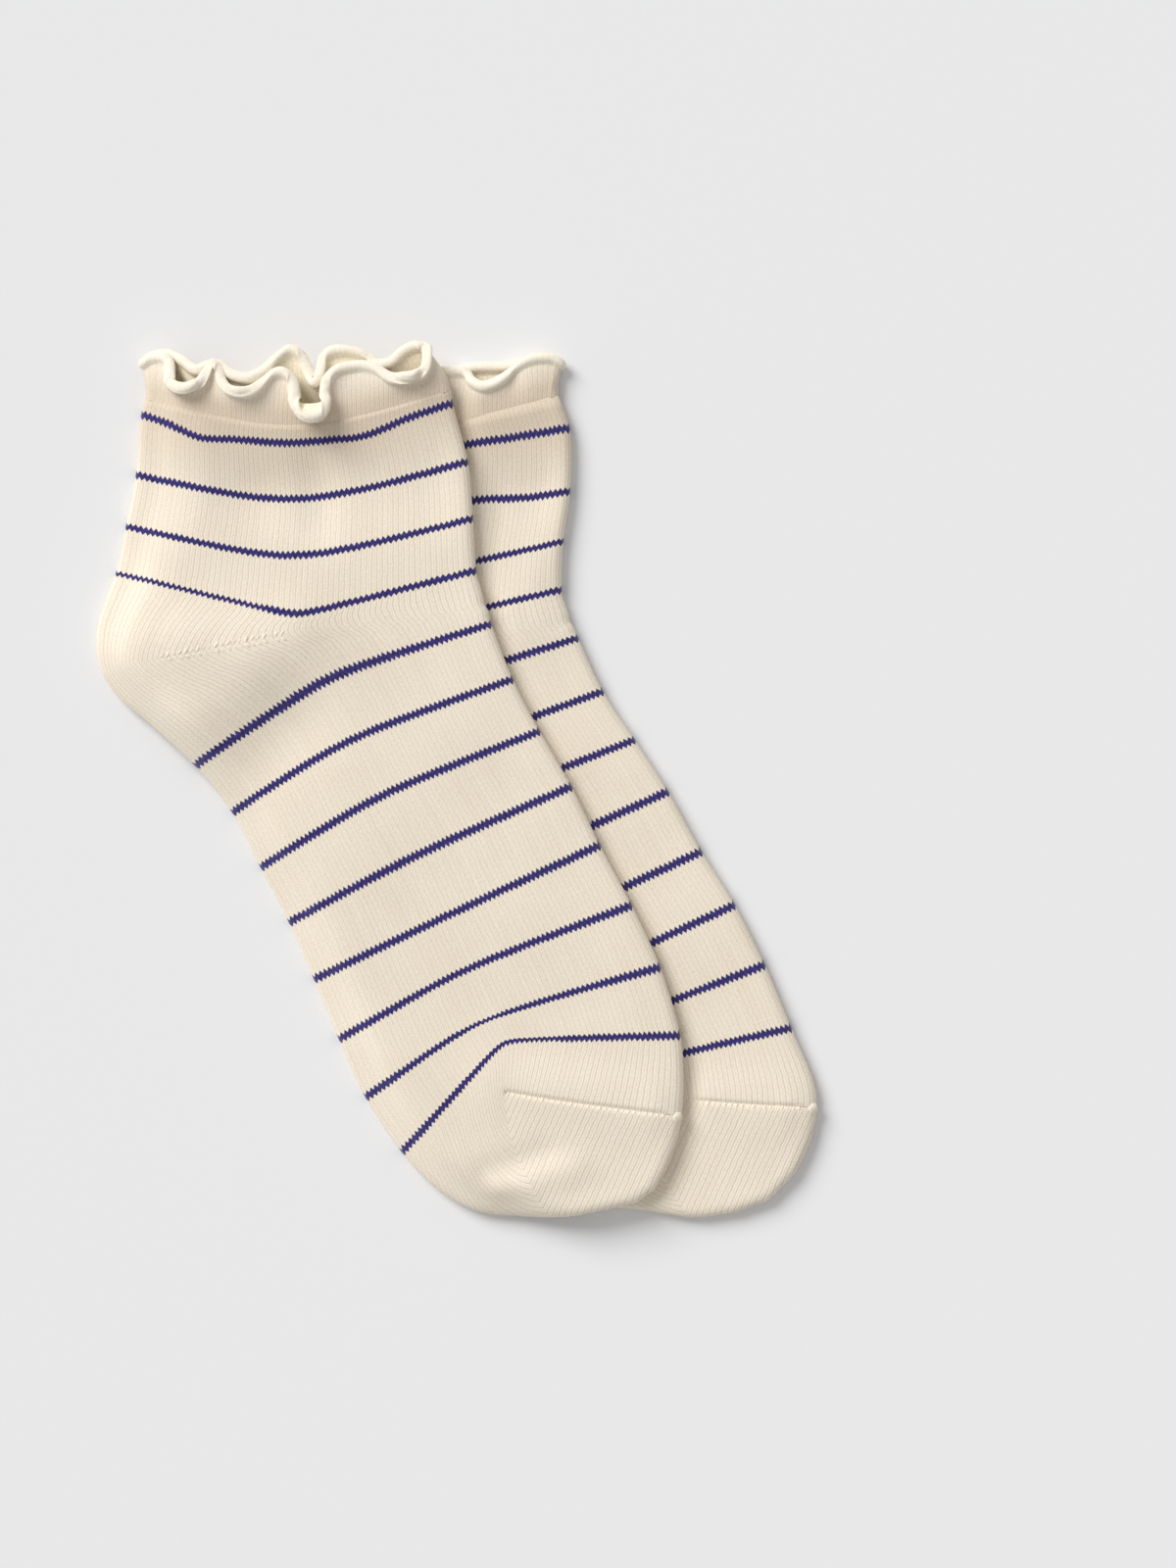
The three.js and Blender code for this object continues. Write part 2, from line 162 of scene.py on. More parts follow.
UNDER_ROWS = table(
    "course heel bend instep soft",
    (0, (-61.5, 106.5), (-16.5, 105), (30.5, 115.5), 0.25),
    (5, (-62.5, 100.5), (-16.5, 98.5), (34, 105.5), 0.25),
    (22, (-64, 82.5), (-16.5, 80), (34, 86.5), 0.2),
    (39, (-67.5, 67.5), (-16.5, 62), (32, 71.5), 0.15),
    (56, (-74, 54), (-19.5, 46), (31.5, 57), 0.06),
    (68, (-80.5, 39.5), (-21, 41.5), (32.5, 53), 0.08),
    (80, (-80.5, 27.5), (-21, 39.5), (33.5, 50), 0.08),
    (90, (-74, 18.5), (-20.5, 37.5), (34, 47.5), 0.08),
    (99, (-65, 11.5), (-18.5, 34), (35, 46), 0.08),
    (108, (-52, 0), (-12, 26), (36.5, 42.5), 0.1),
    (125, (-40.5, -14), (-6, 7), (44, 26.5), 0.15),
    (142, (-30, -29), (5, -8), (53.5, 12), 0.15),
    (159, (-21.5, -44.5), (14.5, -26), (63.5, -3.5), 0.15),
    (176, (-13, -62), (24, -44.5), (73.5, -21.5), 0.15),
    (193, (-4.5, -78.5), (33.5, -60.5), (83.5, -37.5), 0.15),
    (210, (4.5, -95), (42.5, -75.5), (92.5, -55.5), 0.12),
    (227, (17, -111), (51, -87), (100.5, -74.5), 0.08),
    (240, (29.5, -121), (56.5, -93), (107, -90), 0.1),
    (252, (43, -127.5), (63.5, -101.5), (108, -98.5), 0.1),
    (264, (57.5, -129.5), (72, -111), (106.5, -107.5), 0.1),
    (274, (71, -131.5), (81.5, -119.5), (102, -117.5), 0.1),
    (282, (83.5, -130), (89.5, -124.5), (97.5, -122.5), 0.1),
)
UNDER_TIP = (93.5, -126.5)
UNDER_TOE = {
    "pivot": (55.5, -94),
    "seam_bend": (74, -97),
    "gore_course": 273.0,
    "seam_course": 251.5,
    "turn_wale": 30,
}

# The camera, straight above
VIEW_HEIGHT = 472.0  # how much of the surface the picture's height takes in
SENSOR = 36.0
LENS = 100.0
CAMERA_HEIGHT = VIEW_HEIGHT * LENS / SENSOR
LOOK_AT = (39.4, -1.3)

# Each row is a crest, a curled lobe or a point between them: the share of the rim that it grows
# from, the place where it shows from above, and its height above the sock's underside.
TOP_RUFFLE_EDGE = table(
    "share at height",
    (0, (-94, 126.5), 3.2),
    (0.012, (-90.5, 128.4), 5),
    (0.024, (-86, 127.3), 6.5),
    (0.036, (-85.6, 122), 9),
    (0.046, (-86.6, 118.2), 10.5),
    (0.056, (-84.3, 115.9), 11.5),
    (0.068, (-80.5, 115.6), 11.5),
    (0.08, (-77.2, 117.8), 10.5),
    (0.092, (-75.2, 121.8), 8),
    (0.105, (-73, 125.8), 6),
    (0.118, (-70.8, 124.6), 7),
    (0.13, (-70, 120.5), 8.5),
    (0.143, (-68, 117.2), 10.5),
    (0.157, (-64.8, 116), 11.5),
    (0.171, (-61.3, 117.2), 10.5),
    (0.187, (-58, 120), 8.5),
    (0.205, (-54.8, 122.8), 7.5),
    (0.222, (-51.5, 123.3), 7.5),
    (0.237, (-48.8, 121), 8.5),
    (0.247, (-48.4, 116.5), 10.5),
    (0.255, (-48.8, 111.8), 12),
    (0.263, (-46.8, 107.8), 12.5),
    (0.273, (-43.2, 106.6), 13),
    (0.283, (-39.6, 107.8), 12.5),
    (0.29, (-38.6, 111.8), 12),
    (0.297, (-39.4, 116.5), 10.5),
    (0.306, (-39, 120.8), 8.5),
    (0.318, (-36.3, 123.8), 7),
    (0.337, (-32, 125), 6),
    (0.36, (-27.5, 125.3), 6),
    (0.383, (-23.5, 124.2), 7),
    (0.402, (-20, 121.6), 9),
    (0.42, (-16.3, 119.8), 11),
    (0.44, (-12.6, 119.8), 11),
    (0.458, (-10.3, 122.5), 9),
    (0.476, (-9.4, 126.5), 7),
    (0.495, (-9.8, 130.3), 5),
    (0.515, (-13, 131), 4),
    (0.535, (-17, 129), 4.5),
    (0.56, (-20.5, 126), 5.5),
    (0.58, (-24, 125.8), 5.5),
    (0.6, (-27.5, 128.5), 4.5),
    (0.63, (-32, 129.8), 4),
    (0.655, (-37, 129.8), 4),
    (0.675, (-40, 127.8), 4.5),
    (0.69, (-41, 123.6), 6),
    (0.702, (-42.8, 120), 8),
    (0.714, (-44.6, 123.8), 6),
    (0.735, (-46.5, 128.8), 4.5),
    (0.755, (-50, 130), 4),
    (0.78, (-54, 127.5), 5),
    (0.8, (-57.5, 124), 6.5),
    (0.825, (-62, 121.6), 8),
    (0.855, (-66.5, 122.4), 7),
    (0.88, (-70, 125.3), 5.5),
    (0.9, (-74, 125.4), 5.5),
    (0.92, (-77.8, 124), 6.5),
    (0.945, (-81.5, 126.8), 4.5),
    (0.97, (-86.5, 129), 3.5),
    (0.99, (-91.5, 128.5), 3),
)
UNDER_RUFFLE_EDGE = table(
    "share at height",
    (0, (-63, 118.5), 2.2),
    (0.05, (-52, 121.5), 3.8),
    (0.105, (-41, 117), 3.9),
    (0.17, (-29, 121), 3.8),
    (0.235, (-17, 117.5), 3.9),
    (0.29, (-8, 123), 3.9),
    (0.335, (2, 124), 4),
    (0.355, (5, 121), 6.5),
    (0.38, (8.5, 119.5), 8),
    (0.41, (13, 121.5), 7),
    (0.43, (17, 124.5), 4.5),
    (0.46, (22, 127.5), 4),
    (0.485, (28, 128), 3.5),
    (0.5, (31.5, 126), 2.5),
    (0.54, (23, 127), 1.3),
    (0.59, (14, 125.5), 1.7),
    (0.64, (4, 125), 1.3),
    (0.7, (-8, 122.5), 1.5),
    (0.76, (-20, 124), 1.3),
    (0.82, (-33, 121.5), 1.5),
    (0.88, (-45, 122), 1.3),
    (0.94, (-56, 120), 1.5),
)

# Soft ridges and troughs of the upper layer: a line from one place to another, its width on either
# side, and its height.
TOP_RELIEF = table(
    "from to width height",
    ((-84, 86), (-60, 84), 10, -1.0),
    ((-60, 84), (-8, 87), 12, -1.7),
    ((-50, 44), (-80, 41), 12, 2.4),
    ((-80, 41), (-100, 36), 13, 1.5),
    ((-84, 16), (-62, 32), 12, 2.4),
    ((-66, -5), (-50, 14), 13, -2.1),
    ((-41, 97), (-41, 76), 6, -0.9),
    ((14, -91), (60, -98), 11, 1.7),
    ((9, -118), (26, -112), 4.5, -0.9),
    ((14, -122), (36, -116), 5, 0.8),
)
UNDER_RELIEF = table(
    "from to width height",
    ((4, 84), (30, 84), 11, -1.5),
    ((4, 50), (30, 52), 12, 1.4),
    ((58, -94), (102, -98), 11, 1.4),
)

# Where a stripe is pulled down off its course, or up where the drop is negative
TOP_PULLS = table(
    "at reach drop",
    ((-95, 109), 8, -0.6),
    ((-76, 103), 8, 2.0),
    ((-27, 103), 9, 1.5),
)
UNDER_PULLS = table("at reach drop", ((7, 84), 10, -1.6))

# Places where a stripe is pulled thin: the stripe, the wales that it spans, and the width left
TOP_THIN_STRIPES = table(
    "stripe from to left",
    (4, -20, 30, 0.68),
    (11, 22, 35, 0.8),
    (12, 31, 45, 0.8),
)
UNDER_THIN_STRIPES = table("stripe from to left", (4, -20, 30, 0.68))


def smooth(t):
    t = np.clip(t, 0.0, 1.0)
    return t * t * (3 - 2 * t)


def cubic(at, values, t):
    """A cubic through rows of numbers, as in the part's own tables."""
    at, values, t = (np.asarray(x, float) for x in (at, values, t))
    last = len(at) - 1
    before = np.clip(np.arange(last + 1) - 1, 0, last)
    after = np.clip(np.arange(last + 1) + 1, 0, last)
    slope = (values[after] - values[before]) / (at[after] - at[before])[:, None]
    i = np.clip(np.searchsorted(at, t, side="right") - 1, 0, last - 1)
    h = (at[i + 1] - at[i])[:, None]
    u = ((t - at[i]) / h[:, 0])[:, None]
    start = (1 + 2 * u) * (1 - u) ** 2 * values[i]
    end = (3 - 2 * u) * u**2 * values[i + 1]
    bulge = u * (1 - u) * h * ((1 - u) * slope[i] - u * slope[i + 1])
    return start + end + bulge


def courses_of(rows, courses):
    """Heel side, bend, instep side and softness at each of some table courses."""
    numbers = [[*r["heel"], *r["bend"], *r["instep"], r["soft"]] for r in rows]
    found = cubic([r["course"] for r in rows], numbers, courses)
    return found[:, 0:2], found[:, 2:4], found[:, 4:6], found[:, 6]


def points_on_courses(rows, courses, across):
    """Places on bent courses. courses is (n,), across is (m,) or (n, m), and the result (n, m, 2)."""
    heel, bend, instep, soft = courses_of(rows, courses)
    across = np.broadcast_to(across, (len(heel), np.shape(across)[-1]))
    before = np.linalg.norm(bend - heel, axis=1)
    after = np.linalg.norm(instep - bend, axis=1)
    corner = (before / (before + after))[:, None]

    def turn(x):
        return (x + np.hypot(x, soft[:, None])) / 2

    start_error = turn(-corner)
    end_error = turn(1 - corner) - (1 - corner)
    # The softened bend is set back so that the course still passes through its own bend
    back = turn(0 * corner) - start_error * (1 - corner) - end_error * corner
    bend = bend - back * (instep / (1 - corner) + heel / corner)
    bend = bend / (1 - back * (1 / (1 - corner) + 1 / corner))
    turned = turn(across - corner) - start_error * (1 - across) - end_error * across
    first = ((bend - heel) / corner)[:, None, :]
    second = ((instep - bend) / (1 - corner))[:, None, :]
    return heel[:, None, :] + first * across[..., None] + (second - first) * turned[..., None]


def fine_courses(rows):
    at = [r["course"] for r in rows]
    steps = [np.linspace(a, b, OUTLINE_STEPS, endpoint=False) for a, b in zip(at, at[1:])]
    return np.append(np.concatenate(steps), at[-1])


def outline_of(rows, tip):
    """The outline seen from above, round the toe, open and run on above the rim."""
    heel, _, instep, _ = courses_of(rows, fine_courses(rows))
    up = np.array([0, LEG_EXTENSION])
    return np.vstack([heel[0] + up, heel, tip, instep[::-1], instep[0] + up])


def distance_to(line, points):
    a, b = line[:-1], line[1:]
    along = b - a
    length2 = np.sum(along**2, axis=1)
    least = np.empty(len(points))
    for start in range(0, len(points), CHUNK):
        p = points[start : start + CHUNK, None, :]
        t = np.clip(np.sum((p - a) * along, axis=2) / length2, 0, 1)
        gap = np.linalg.norm(p - a - t[..., None] * along, axis=2)
        least[start : start + CHUNK] = gap.min(axis=1)
    return least


def signed_distance(line, points):
    """Distance to a closed outline, positive inside."""
    a, b = line, np.roll(line, -1, axis=0)
    x, y = points[:, 0], points[:, 1]
    inside = np.zeros(len(points), bool)
    for (ax, ay), (bx, by) in zip(a, b):
        if ay == by:
            continue
        crosses = ((ay > y) != (by > y)) & (x < ax + (bx - ax) * (y - ay) / (by - ay))
        inside ^= crosses
    distance = distance_to(line, points)
    return np.where(inside, distance, -distance)


class Sock:
    """One sock: its tables, its outline and the height of its cloth at any place."""

    def __init__(self, name, rows, tip, toe, relief, thin, pulls=(), over=None):
        self.name = name
        self.rows = rows
        self.tip = tip
        self.toe = toe
        self.relief = relief
        self.thin = thin
        self.pulls = pulls
        self.outline = outline_of(rows, tip)
        self.rim = points_on_courses(rows, np.zeros(1), np.linspace(0, 1, 60))[0]
        self.over = over
        self.covered_by = None

    def lift(self, points, ramp=RAMP, margin=RAMP_MARGIN):
        if self.over is None:
            return np.zeros(len(points))
        inside = signed_distance(self.over.outline, points)
        return LIFT * smooth((inside + margin + ramp) / ramp)

    def upper_lift(self, points):
        """The upper layer rises earlier and more softly than the lower one."""
        if self.over is None:
            return np.zeros(len(points))
        low = self.lift(points)
        soft = self.lift(points, SOFT_RAMP, RAMP_MARGIN + SOFT_RAMP_MARGIN + SOFT_RAMP - RAMP)
        edge = distance_to(self.outline, points)
        return low + (soft - low) * smooth(edge / SIDE_FADE)

    def band_lift(self, points):
        """The same for a ruffle's points, which go from the lower layer over to the upper one."""
        low = self.lift(points[:, :2])
        high = self.upper_lift(points[:, :2])
        return low + (high - low) * smooth((points[:, 2] - 1.0) / 2.5)

    def relief_at(self, points, edge):
        """What stands proud of the flat upper layer, in millimetres."""
        x, y = points[:, 0], points[:, 1]
        height = UNEVEN * np.sin(x / UNEVEN_ACROSS + UNEVEN_SHIFT) * np.sin(y / UNEVEN_DOWN)
        for crease in self.relief:
            a, b = np.array(crease["from"], float), np.array(crease["to"], float)
            along = b - a
            t = (points - a) @ along / (along @ along)
            near = a + np.clip(t, 0, 1)[:, None] * along
            gap = np.linalg.norm(points - near, axis=1)
            height += crease["height"] * np.exp(-((gap / crease["width"]) ** 2))
        below_rim = np.interp(x, self.rim[:, 0], self.rim[:, 1]) - y
        height += RIM_RISE * np.exp(-(((below_rim + RIM_RISE_CENTRE) / RIM_RISE_WIDTH) ** 2))
        height *= smooth(edge / FOLD_FADE)
        height -= self.seam_groove(points)
        if self.covered_by is not None:
            covered = signed_distance(self.covered_by.outline, points)
            height *= smooth(-covered / COVER_FADE)
        return height

    def seam_groove(self, points):
        """The fine groove along the toe's seam, fading out towards the fold."""
        line = seam_line(self, np.linspace(0.02, 0.93, 30))
        gap = distance_to(line, points)
        return SEAM_DEPTH * np.exp(-((gap / SEAM_WIDTH) ** 2))

    def heights(self, points, side):
        """Heights of the outer face at places in the plan: side 1 above and -1 below."""
        edge = distance_to(self.outline, points)
        edge[edge < ON_THE_FOLD] = 0
        radius = FLAT_THICKNESS / 2
        depth = np.minimum(edge, radius)
        half = np.sqrt(np.maximum(radius**2 - (radius - depth) ** 2, 0))
        if side > 0:
            return radius + half + self.upper_lift(points) + self.relief_at(points, edge)
        return radius - half + self.lift(points)


# Knitted cloth of a sock, as patches of a plan

def wale_steps(low, high, fine_low, fine_high):
    """Wale positions, with finer steps at a folded edge."""
    steps = list(np.arange(low, high + 0.5))
    if fine_low:
        steps[1:1] = [low + step for step in FOLD_STEPS]
    if fine_high:
        steps[-1:-1] = [high - step for step in reversed(FOLD_STEPS)]
    return np.array(steps)


def stretch(low, high, step):
    return np.linspace(low, high, max(2, int(round((high - low) / step)) + 1))


def lean(courses, across):
    """The heel's wales lean back towards its gore: where they lie on each course."""
    rise = np.clip((courses - HEEL_START) / (HEEL_TURN - HEEL_START), 0, 1) ** 1.3
    fall = np.clip((HEEL_END - courses) / (HEEL_END - HEEL_TURN), 0, 1) ** 1.3
    amount = HEEL_LEAN * np.minimum(rise, fall)[:, None]
    half = np.clip(across / 0.5, 0, 1)
    return across - amount * np.sin(np.pi * half) * (across < 0.5)


def lengths_down(grid):
    """How far each point of a patch is down its own wale."""
    steps = np.linalg.norm(np.diff(grid, axis=0), axis=2)
    return np.vstack([np.zeros((1, grid.shape[1])), np.cumsum(steps, axis=0)])


def knitted_courses(grid, courses, known, numbers):
    """Knitted course numbers down each wale, even along it between the known table courses."""
    down = lengths_down(grid)
    knitted = np.empty_like(down)
    for k in range(down.shape[1]):
        at = np.interp(known, courses, down[:, k])
        knitted[:, k] = cubic(at, numbers[:, k][:, None], down[:, k])[:, 0]
    return knitted


def pulled(sock, grid, knitted):
    """Course numbers with the places where the ruffle's folds pull the stripes down."""
    knitted = knitted.copy()
    for pull in sock.pulls:
        gap = np.linalg.norm(grid - np.array(pull["at"], float), axis=2)
        knitted -= pull["drop"] * np.exp(-((gap / pull["reach"]) ** 2))
    return knitted


def leg_patch(sock):
    """From the rim to the heel's gore."""
    leg, heel = stretch(0, HEEL_START, LONG_STEP), stretch(HEEL_START, HEEL_TURN, SHORT_STEP)
    courses = np.concatenate([leg, heel[1:]])
    wales = wale_steps(0, WALES, True, True)
    across = lean(courses, np.broadcast_to(wales / WALES, (len(courses), len(wales))))
    grid = points_on_courses(sock.rows, courses, across)
    short = TURN_COURSES * np.clip(1 - wales / MIDDLE, 0, 1)
    stripes_at = np.arange(FIRST_STRIPE, HEEL_START + 1, STRIPE_EVERY)
    known = np.array([0, *stripes_at, HEEL_TURN])
    numbers = np.repeat(known[:, None], len(wales), axis=1)
    numbers[-1] = HEEL_START + PIVOT_COURSES + short
    down = lengths_down(grid)
    first = [np.interp(known[:3], courses, down[:, k]) for k in range(len(wales))]
    numbers[0] = [FIRST_STRIPE - (b - a) * STRIPE_EVERY / (c - b) for a, b, c in first]
    knitted = pulled(sock, grid, knitted_courses(grid, courses, known, numbers))
    stripes = np.where(courses < HEEL_START + PAST_STRIPE, 1.0, 0.0)
    return grid, wales, knitted, stripes


def foot_patch(sock):
    """From the heel's gore to the last stripe."""
    heel, foot = stretch(HEEL_TURN, HEEL_END, SHORT_STEP), stretch(HEEL_END, FOOT_END, LONG_STEP)
    courses = np.concatenate([heel, foot[1:]])
    wales = wale_steps(0, WALES, True, True)
    across = lean(courses, np.broadcast_to(wales / WALES, (len(courses), len(wales))))
    grid = points_on_courses(sock.rows, courses, across)
    short = TURN_COURSES * np.clip(1 - wales / MIDDLE, 0, 1)
    known = np.array([HEEL_TURN, *np.arange(HEEL_END, FOOT_END + 1, STRIPE_EVERY)])
    numbers = np.repeat(known[:, None] - HEEL_EXTRA, len(wales), axis=1)
    numbers[0] = HEEL_START + PIVOT_COURSES - short
    knitted = knitted_courses(grid, courses, known, numbers)
    stripes = np.where(courses > HEEL_END - BEFORE_STRIPE, 1.0, 0.0)
    return grid, wales, knitted, stripes


def along_line(line, shares):
    """Points at shares of the length of a line."""
    steps = np.linalg.norm(np.diff(line, axis=0), axis=1)
    at = np.concatenate([[0], np.cumsum(steps)]) / steps.sum()
    return np.stack([np.interp(shares, at, line[:, k]) for k in (0, 1)], axis=1)


def side_line(sock, start, end, side):
    """The heel side (0) or instep side (2) of the outline between two table courses."""
    courses = np.linspace(start, end, 40)
    return courses_of(sock.rows, courses)[side]


def toe_end_row(sock, wales):
    row = points_on_courses(sock.rows, np.array([FOOT_END]), wales / WALES)
    return row[0]


def seam_line(sock, shares):
    """The toe's closing seam, from its pivot to the instep side."""
    a = np.array(sock.toe["pivot"], float)
    b = np.array(sock.toe["seam_bend"], float)
    c = courses_of(sock.rows, np.array([sock.toe["seam_course"]]))[2][0]
    s = np.asarray(shares, float)[:, None]
    return (1 - s) ** 2 * a + 2 * s * (1 - s) * b + s**2 * c


def toe_gore_line(sock, shares):
    """The toe's gore, from its pivot to the heel side of the outline."""
    a = np.array(sock.toe["pivot"], float)
    b = a - [0, GORE_DROP]
    c = courses_of(sock.rows, np.array([sock.toe["gore_course"]]))[0][0]
    s = np.asarray(shares, float)[:, None]
    return (1 - s) ** 2 * a + 2 * s * (1 - s) * b + s**2 * c


def towards_seam(count):
    """Shares of the way to the seam, closer together near it."""
    return 1 - (1 - np.linspace(0, 1, count)) ** 1.6


def pocket_wales(sock, plan):
    """Wale and course in the toe's pocket, whose wales hang at a slant from the seam."""
    pivot = np.array(sock.toe["pivot"], float)
    end = seam_line(sock, [1.0])[0]
    up = np.array([math.cos(TOE_LEAN), math.sin(TOE_LEAN)])
    basis = np.column_stack([end - pivot, -up])
    solved = (plan - pivot) @ np.linalg.inv(basis).T
    wales = sock.toe["turn_wale"] * (1 - solved[..., 0])
    return wales, POCKET_COURSE - solved[..., 1] / COURSE_HEIGHT


def toe_top_patch(sock):
    """The instep side of the toe, from the last stripe to the seam."""
    turn = sock.toe["turn_wale"]
    wales = wale_steps(turn, WALES, False, True)
    share = (wales - turn) / (WALES - turn)
    t = towards_seam(TOE_ROWS)
    first = toe_end_row(sock, wales)
    last = seam_line(sock, share)
    grid = first[None] * (1 - t)[:, None, None] + last[None] * t[:, None, None]
    side = side_line(sock, FOOT_END, sock.toe["seam_course"], 2)
    bulge = along_line(side, t) - grid[:, -1]
    grid += bulge[:, None, :] * (share**3)[None, :, None]
    knitted = LAST_STRIPE + lengths_down(grid) / COURSE_HEIGHT
    return grid, wales, knitted, np.where(t < 0.25, 1.0, 0.0)


def toe_sole_patch(sock):
    """The sole side of the toe, from the last stripe to the toe's gore."""
    wales = wale_steps(0, sock.toe["turn_wale"], True, False)
    share = 1 - wales / sock.toe["turn_wale"]
    t = towards_seam(TOE_ROWS)
    first = toe_end_row(sock, wales)
    side = side_line(sock, FOOT_END, sock.toe["gore_course"], 0)
    last = toe_gore_line(sock, share)
    grid = first[None] * (1 - t)[:, None, None] + last[None] * t[:, None, None]
    bulge = along_line(side, t) - grid[:, 0]
    grid += bulge[:, None, :] * (share**2)[None, :, None]
    knitted = LAST_STRIPE + lengths_down(grid) / COURSE_HEIGHT
    at_gore, _ = pocket_wales(sock, last)
    turned = wales + (at_gore - wales) * smooth(t)[:, None]
    return grid, turned, knitted, np.where(t < 0.2, 1.0, 0.0)


def toe_pocket_patch(sock):
    """The toe's pocket, fanned about its pivot from the gore round to the seam."""
    wales = wale_steps(0, sock.toe["turn_wale"], True, False)
    share = 1 - wales / sock.toe["turn_wale"]
    t = towards_seam(FAN_ROWS)
    pivot = np.array(sock.toe["pivot"], float)
    heel_side = side_line(sock, sock.toe["gore_course"], sock.rows[-1]["course"], 0)
    instep_side = side_line(sock, sock.rows[-1]["course"], sock.toe["seam_course"], 2)
    rim = along_line(np.vstack([heel_side, sock.tip, instep_side]), t)
    grid = pivot + (rim[:, None, :] - pivot) * share[None, :, None]
    seam = seam_line(sock, share)
    straight = pivot + (seam[0] - pivot) * share[:, None]
    grid += (t**3)[:, None, None] * (seam - straight)[None]
    straight = pivot + (rim[0] - pivot) * share[:, None]
    grid += ((1 - t) ** 3)[:, None, None] * (toe_gore_line(sock, share) - straight)[None]
    turned, knitted = pocket_wales(sock, grid)
    return grid, turned, knitted, np.zeros(len(t))


PATCHES = [leg_patch, foot_patch, toe_top_patch, toe_sole_patch, toe_pocket_patch]


def stripe_width(sock, wales, knitted, stripes):
    """Half a stripe's width in courses at each point, less where it is pulled thin, or 0."""
    width = HALF_STRIPE * np.broadcast_to(stripes[:, None], knitted.shape)
    for thin in sock.thin:
        at = FIRST_STRIPE + STRIPE_EVERY * (thin["stripe"] - 1)
        near = np.abs(knitted - at) < STRIPE_EVERY / 2
        inside = smooth((wales - thin["from"]) / THIN_FADE) * smooth((thin["to"] - wales) / THIN_FADE)
        width *= np.where(near, 1 - (1 - thin["left"]) * inside, 1.0)
    return width


def grid_faces(rows, columns, start, flip):
    r, c = np.meshgrid(np.arange(rows - 1), np.arange(columns - 1), indexing="ij")
    a = (start + r * columns + c).ravel()
    quad = np.stack([a, a + columns, a + columns + 1, a + 1], axis=1)
    return quad[:, ::-1] if flip else quad


def sock_skin(sock):
    """Points, faces, and each corner's wale, course and stripe width, for the outer face."""
    points, faces, knit = [], [], []
    start = 0
    for side in (1, -1):
        for patch in PATCHES:
            grid, wales, knitted, stripes = patch(sock)
            wales = np.broadcast_to(wales, knitted.shape)
            plan = grid.reshape(-1, 2)
            points.append(np.column_stack([plan, sock.heights(plan, side)]))
            width = stripe_width(sock, wales, knitted, stripes)
            if side < 0:
                wales = 2 * WALES - wales
            knit.append(np.stack([wales, knitted, width], axis=2).reshape(-1, 3))
            faces.append(grid_faces(*knitted.shape, start, side < 0))
            start += len(plan)
    return np.vstack(points), np.vstack(faces), np.vstack(knit)


def welded(points, faces):
    """Points that lie in one place become one. Returns the kept points and the new face corners."""
    tree = KDTree(len(points))
    for k, point in enumerate(points):
        tree.insert(point, k)
    tree.balance()
    first = np.array([min(found[1] for found in tree.find_range(p, SAME_PLACE)) for p in points])
    kept, where = np.unique(first, return_inverse=True)
    return points[kept], where.ravel()[faces]


def vertex_normals(points, faces):
    normals = np.zeros_like(points)
    diagonals = np.cross(
        points[faces[:, 2]] - points[faces[:, 0]], points[faces[:, 3]] - points[faces[:, 1]]
    )
    for k in range(4):
        np.add.at(normals, faces[:, k], diagonals)
    return normals / np.maximum(np.linalg.norm(normals, axis=1, keepdims=True), 1e-9)


def open_edges(faces):
    """Edges that only one face has, in the order in which that face goes round."""
    edges = np.vstack([np.column_stack([faces[:, k], faces[:, (k + 1) % 4]]) for k in range(4)])
    edges = edges[edges[:, 0] != edges[:, 1]]
    _, where, count = np.unique(
        np.sort(edges, axis=1), axis=0, return_inverse=True, return_counts=True
    )
    return edges[count[where.ravel()] == 1]


def make_mesh(name, points, faces, knit, flat=0):
    """A smooth mesh in metres, its last faces flat where a cut edge is hidden.

    knit holds a wale, a course and a stripe width for each corner.
    """
    smooth_faces = np.arange(len(faces)) < len(faces) - flat
    keep = [len(set(face)) > 2 for face in faces.tolist()]
    faces, knit, smooth_faces = faces[keep], knit[keep], smooth_faces[keep]
    polygons, corners = [], []
    for face, values in zip(faces.tolist(), knit):
        fresh = [k for k in range(len(face)) if face[k] != face[k - 1]]
        polygons.append([face[k] for k in fresh])
        corners.append(values[fresh])
    corners = np.vstack(corners)
    mesh = bpy.data.meshes.new(name)
    mesh.from_pydata((np.asarray(points) * MM).tolist(), [], polygons)
    layer = mesh.uv_layers.new(name="knit")
    layer.uv.foreach_set("vector", np.ascontiguousarray(corners[:, :2], dtype=np.float32).ravel())
    width = mesh.attributes.new("stripe_width", "FLOAT", "CORNER")
    width.data.foreach_set("value", np.ascontiguousarray(corners[:, 2], dtype=np.float32))
    mesh.polygons.foreach_set("use_smooth", smooth_faces.tolist())
    mesh.update()
    piece = bpy.data.objects.new(name, mesh)
    bpy.context.scene.collection.objects.link(piece)
    return piece


def frame_shift():
    """The tables' own origin against the frame's, from the top sock's instep side."""
    high = np.array(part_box("top_sock")[1]) / MM
    widest = max(row["instep"][0] for row in TOP_ROWS)
    return np.array([high[0] - widest, high[1] - TOP_ROWS[0]["instep"][1], 0])


SHIFT = frame_shift()


